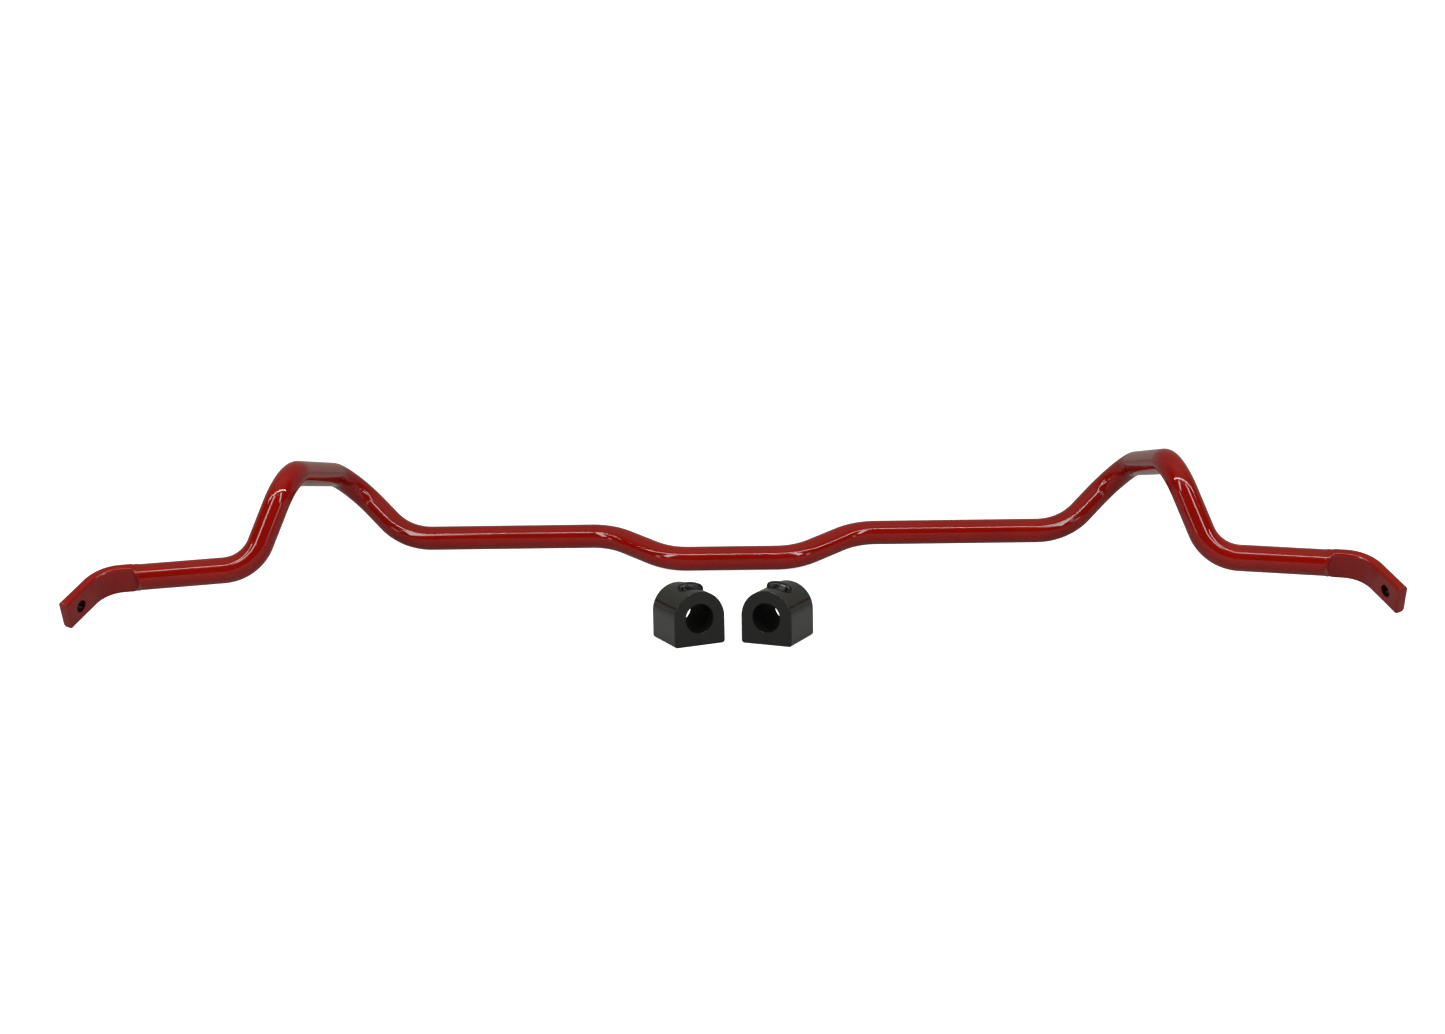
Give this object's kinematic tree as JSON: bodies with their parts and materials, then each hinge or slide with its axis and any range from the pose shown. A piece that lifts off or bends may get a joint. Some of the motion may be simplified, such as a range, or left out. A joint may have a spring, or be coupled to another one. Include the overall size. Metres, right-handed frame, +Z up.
{
  "type": "sway bar",
  "caption": "Bent solid steel anti-roll bar with flat forged link eyes, shown loose with its black D-shaped chassis bushes.",
  "frame": {"origin": "on the ground, in the middle of the footprint of the bar and its bushes", "axes": "+X along the bar from its left link eye to its right one, +Y towards the back, away from the arms' ends, +Z up"},
  "size_m": [1.123, 0.3689, 0.1241],
  "materials": {
    "red_powder_coat": "gloss",
    "black_polyurethane": "gloss"
  },
  "bodies": {
    "bar": {"sway_bar": "red_powder_coat"},
    "left_bush": {"bush_left": "black_polyurethane"},
    "right_bush": {"bush_right": "black_polyurethane"}
  },
  "joints": [
    {"name": "left_bush_lift", "type": "slide", "parent": "bar", "child": "left_bush", "axis": [0, 0, 1], "range_m": [0, 0.12]},
    {"name": "right_bush_lift", "type": "slide", "parent": "bar", "child": "right_bush", "axis": [0, 0, 1], "range_m": [0, 0.12]}
  ]
}
